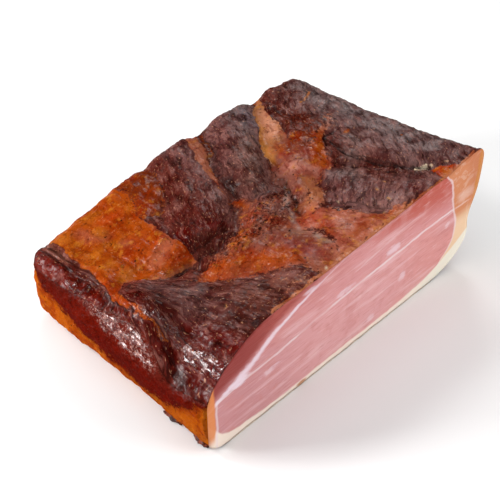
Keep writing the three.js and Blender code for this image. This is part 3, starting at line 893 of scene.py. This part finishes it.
def curve(through):
    """A smooth line through points that are given in mm along the cut and mm up."""
    points = [((place + WIDTH / 2) / WIDTH, height / TALL) for place, height in through]
    return cut.node("FloatCurve", {"curve": points}, {"Value": along}) * TALL


def size_of(value):
    return cut.node("Math", {"operation": "ABSOLUTE"}, {0: value})


def patch(place, height, wide, tall, ragged=1.4):
    """A blurred patch on the cut: 1 in its middle, with a ragged edge."""
    sideways, upwards = (x - place) / wide, (z - height) / tall
    return cut.band(sideways * sideways + upwards * upwards + (torn - 0.5) * (2 * ragged), 1.2, 0.0)


ROSE_MEAT = colour(210, 146, 148)
PINK_MEAT = colour(230, 166, 166)
RIGHT_MEAT = colour(226, 152, 148)
UPPER_MEAT = colour(222, 152, 152)
DEEP_ROSE = colour(204, 122, 118)
DUSKY_ROSE = colour(204, 124, 120)
SMOKED_RED = colour(192, 82, 64)
MARBLED_ROSE = colour(214, 140, 136)
PALE_STREAK = colour(248, 206, 208)
PALE_FIBRE = colour(246, 204, 204)
DARK_FIBRE = colour(190, 108, 106)
OUTER_RED = colour(150, 54, 48)
INNER_RED = colour(180, 84, 74)
SEAM_WHITE = colour(246, 224, 226)
SEAM_BLUE = colour(248, 224, 234)
SEAM_TAN = colour(240, 206, 196)
FAT_TAN = colour(214, 134, 88)
FAT_CREAM = colour(246, 208, 170)
FAT_PALE = colour(248, 240, 222)
FAT_STREAK = colour(232, 190, 168)
FAT_BLUSH = colour(236, 196, 180)
FAT_SMOKED = colour(196, 112, 70)
FAT_WHITE = colour(255, 236, 220)
GOLD_EDGE = colour(206, 128, 40)
ORANGE_EDGE = colour(234, 142, 80)
RIND_EDGE = colour(150, 122, 96)
RIND_SPOT = colour(196, 128, 74)

grain = cut.noise(fibres, 1.3, 3.0, 0.6)
broad = cut.noise(fibres, 6.0, 3.0)
marbled = cut.noise(here, 16.0, 3.0, 0.6, 0.6)
lean = cut.layered(cut.blend(ROSE_MEAT, PINK_MEAT, cut.band(x, -95, -20)), [
    (RIGHT_MEAT, cut.band(x, 20, 80)),
    (DEEP_ROSE, cut.band(x, 64, 92) * cut.band(z, 30, 44) * 0.6),
    (UPPER_MEAT, cut.band(z, 46, 60) * 0.9),
    (SMOKED_RED, cut.band(z + x * 0.16, 66, 88) * cut.band(x, -10, 30) * 0.95),
    (DUSKY_ROSE, cut.band(z - x * 0.10, 62, 78) * cut.band(x, 10, -20) * 0.6),
    (MARBLED_ROSE, cut.band(marbled, 0.50, 0.36) * 0.45),
    (PALE_STREAK, cut.band(broad, 0.52, 0.72) * 0.45),
    (PALE_FIBRE, cut.band(grain, 0.54, 0.74) * 0.40),
    (DARK_FIBRE, cut.band(grain, 0.46, 0.32) * 0.35),
])

# Above the first seam the meat is darker towards the left end. The second seam and a faint one are broken.
first_seam = curve([
    (-120, 36), (-107, 42), (-90, 48.5), (-70, 60.5), (-45, 70), (-20, 77), (10, 82), (120, 96),
])
above = z - first_seam
inner = cut.band(x, -95, -55) * (1 - 0.5 * cut.band(torn, 0.56, 0.40))
upper_red = cut.blend(OUTER_RED, INNER_RED, inner)
thick = curve([  # half the thickness of the seam
    (-120, 1.2), (-104, 2.0), (-90, 2.8), (-76, 2.3), (-60, 1.4), (-30, 0.9), (0, 0.5), (120, 0.2),
])
seam = cut.band(size_of(above) / thick + ripple * 1.2 + (torn - 0.5) * 1.6, 1.7, 0.2)
seam = seam * cut.band(x, 5, -60) * 0.9
second_seam = curve([
    (-120, 37), (-100, 41), (-60, 44), (-30, 47.5), (0, 50), (50, 52.5), (95, 53), (120, 51),
])
off = size_of(z - second_seam)
broken = cut.band(cut.noise(fibres, 5.0, 2.0), 0.38, 0.60)
faint_seam = curve([(-120, 40), (-20, 60), (5, 63), (45, 69), (120, 76)])
faint = cut.band(size_of(z - faint_seam), 1.4, 0.3) * broken
lean = cut.layered(lean, [
    (upper_red, cut.band(above, -1.0, 9.0 + 5.0 * waver) * cut.band(x, 0, -40) * 0.95),
    (SEAM_WHITE, cut.band(off, 1.5, 0.3) * (0.25 + 0.55 * broken)),
    (SEAM_WHITE, faint * cut.band(x, -10, 5) * cut.band(x, 60, 40) * 0.45),
    (SEAM_BLUE, seam),
])
# The first pale spot is a painted pearly highlight.
PATCHES = [  # place, height, half width, half height and strength of pale spots in the lean
    (33, 57, 8, 4, 0.60), (-10, 53, 10, 2.5, 0.45), (-72, 34, 9, 3, 0.50), (-42, 74, 6, 2, 0.50),
    (46, 28, 4, 5, 0.50), (18, 12, 4, 3, 0.40), (-97, 43, 10, 3.4, 0.95), (90, 43, 3, 3, 0.35),
]
for place, height, wide, tall, strength in PATCHES:
    lean = cut.blend(lean, SEAM_BLUE, patch(place, height, wide, tall) * strength)

# The muscle ends in a pale line near the right end; past it lie fat, cream fat and the rind.
up = z / TALL
right_edge = cut.node("FloatCurve", {"curve": [
    (0.0, 0.82), (0.15, 0.87), (0.20, 0.895), (0.28, 0.912), (0.40, 0.912), (0.57, 0.888), (0.68, 0.875),
    (0.80, 0.858), (0.86, 0.835), (1.0, 0.78),
]}, {"Value": up}) * WIDTH - WIDTH / 2
past = x - right_edge
pale_streaks = cut.band(cut.noise(here, 9.0, 3.0, 0.6, 1.0), 0.50, 0.62)
fat_side = cut.layered(cut.blend(FAT_CREAM, FAT_TAN, cut.band(z, 36, 50)), [
    (FAT_STREAK, pale_streaks * cut.band(z, 30, 50) * 0.45),
    (FAT_BLUSH, patch(106, 60, 12, 6, 0.8) * 0.6),
    (FAT_SMOKED, cut.band(past, 14, 26) * cut.band(z, 44, 60) * 0.6),
])
seam_end = cut.band(off, 1.3, 0.2) * cut.band(past, -2, 4) * cut.band(past, 20, 12)

# The fat and the rind lie under the whole cut and rise at both of its ends.
layer = curve([
    (-120, 26), (-114, 17), (-104, 9), (-80, 5.2), (-20, 5.4), (40, 5.8), (75, 9), (92, 15), (120, 30),
])
under_lean = layer - z
foot = cut.layered(lean, [
    (fat_side, cut.band(past, -0.6, 0.8)),
    (SEAM_WHITE, cut.band(size_of(past) + (torn - 0.5) * 1.2, 1.6, 0.2) * 0.65),
    (SEAM_TAN, seam_end * 0.6),
    (GOLD_EDGE, cut.band(x + ripple * 2.0, 114.2, 116.0) * cut.band(z, 42, 50) * 0.8),
    (cut.blend(FAT_WHITE, FAT_PALE, cut.band(x, 40, 90)), cut.band(under_lean, -0.8, 1.2)),
    (SEAM_WHITE, cut.band(size_of(x + 113.5), 1.3, 0.3) * cut.band(z, 44, 34) * 0.6),
    (ORANGE_EDGE, cut.band(x, -113.6, -115.6) * cut.band(z, 6, 16) * 0.95),
    (RIND_EDGE, cut.band(size_of(z - 1.0 - ripple * 2.0), 0.9, 0.2) * 0.75),
    (RIND_SPOT, patch(-45, 2.5, 5, 1.8, 0.5) * 0.9),
])

relief = cut.node("Bump", {}, {"Strength": 0.6, "Distance": 0.35 * MM, "Height": grain + broad + seam * 0.5})
cut.set(
    Base_Color=foot,
    Roughness=0.34 + 0.16 * broad,
    Normal=relief,
    Specular_IOR_Level=0.12,
    Subsurface_Weight=0.12,
    Subsurface_Radius=(0.004, 0.0018, 0.0012),
    Subsurface_Scale=1.0,
)

ham.data.materials.append(crust.material)
ham.data.materials.append(cut.material)
for polygon in fine.polygons:
    face = polygon.center.y / MM - cut_y < 0.02
    polygon.material_index = 1 if face else 0

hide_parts(NODE)
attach(ham, "root")


# Scraps of rind
# Two dark, ragged scraps that the knife left hanging under the left end. They lie flat on the table.
SCRAPS = [  # middle and half lengths of each, in mm
    ((-114.0, -47, 1.2), (3.4, 7.5, 1.2)),
    ((-114.4, -72, 2.1), (3.9, 6.0, 2.1)),
]
scraps = bmesh.new()
for centre, half in SCRAPS:
    scrap = bmesh.ops.create_icosphere(scraps, subdivisions=4, radius=1.0)["verts"]
    for vert in scrap:
        ragged = 1.0 + 0.35 * noise.fractal(Vector(centre) + vert.co * 2.2, 1.0, 2.0, 3)
        spot = Vector(centre) + Vector(vert.co[i] * half[i] * ragged for i in range(3))
        vert.co = Vector((spot.x, spot.y, max(spot.z, 0.0))) * MM
for face in scraps.faces:
    face.smooth = True
scrap_mesh = bpy.data.meshes.new("rind_scraps")
scraps.to_mesh(scrap_mesh)
scraps.free()
rind_scraps = bpy.data.objects.new("rind_scraps", scrap_mesh)
bpy.context.collection.objects.link(rind_scraps)

scorched = Finish("scorched_rind")
here = scorched.node("TexCoord", {}, {}, 3)
CHARRED = colour(56, 16, 10)
TOASTED = colour(150, 62, 22)
crumbs = scorched.noise(here, 2.2, 4.0, 0.65)
brown = scorched.blend(CHARRED, TOASTED, scorched.band(crumbs, 0.44, 0.66))
rough_rind = scorched.node("Bump", {}, {"Strength": 1.0, "Distance": 0.8 * MM, "Height": crumbs})
scorched.set(Base_Color=brown, Roughness=0.3 + 0.4 * crumbs, Normal=rough_rind, Specular_IOR_Level=0.3)
scrap_mesh.materials.append(scorched.material)
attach(rind_scraps, "root")


# The floor and the light
# A pale table that runs out of sight. Two windows at the back left make the shine on the wet slope, and large
# soft lights above, in front and behind fill the shadows.
FLOOR_ACROSS = 8.0
table = bmesh.new()
bmesh.ops.create_grid(table, x_segments=1, y_segments=1, size=FLOOR_ACROSS / 2)
floor_mesh = bpy.data.meshes.new("floor")
table.to_mesh(floor_mesh)
table.free()
floor = bpy.data.objects.new("floor", floor_mesh)
bpy.context.collection.objects.link(floor)
pale = Finish("pale_floor")
pale.set(Base_Color=(0.9, 0.9, 0.9, 1.0), Roughness=0.9, Specular_IOR_Level=0.1)
floor_mesh.materials.append(pale.material)
floor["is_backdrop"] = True

LIGHTS = {  # place, width and height of the panel, and power
    "low window": ((-0.80, 0.56, 0.26), (0.30, 0.46), 13.0),
    "high window": ((-0.52, 0.56, 0.76), (0.24, 0.24), 4.0),
    "above": ((-0.1, 0.1, 1.3), (0.9, 0.9), 3.0),
    "front": ((0.6, -1.05, 0.5), (0.8, 0.8), 13.0),
    "behind": ((0.78, 0.78, 0.95), (0.5, 0.5), 5.0),
}
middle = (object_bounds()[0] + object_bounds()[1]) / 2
for name, (place, (wide, tall), power) in LIGHTS.items():
    lamp = bpy.data.lights.new(name, "AREA")
    lamp.shape = "RECTANGLE"
    lamp.size, lamp.size_y, lamp.energy = wide, tall, power
    light = bpy.data.objects.new(name, lamp)
    bpy.context.collection.objects.link(light)
    light.location = place
    light.rotation_mode = "QUATERNION"
    light.rotation_quaternion = (middle - Vector(place)).to_track_quat("-Z", "Y")
world = bpy.data.worlds.new("studio")
world.use_nodes = True
world.node_tree.nodes["Background"].inputs["Color"].default_value = (1.0, 1.0, 1.0, 1.0)
world.node_tree.nodes["Background"].inputs["Strength"].default_value = 0.25
bpy.context.scene.world = world
bpy.context.scene.view_settings.view_transform = "Standard"
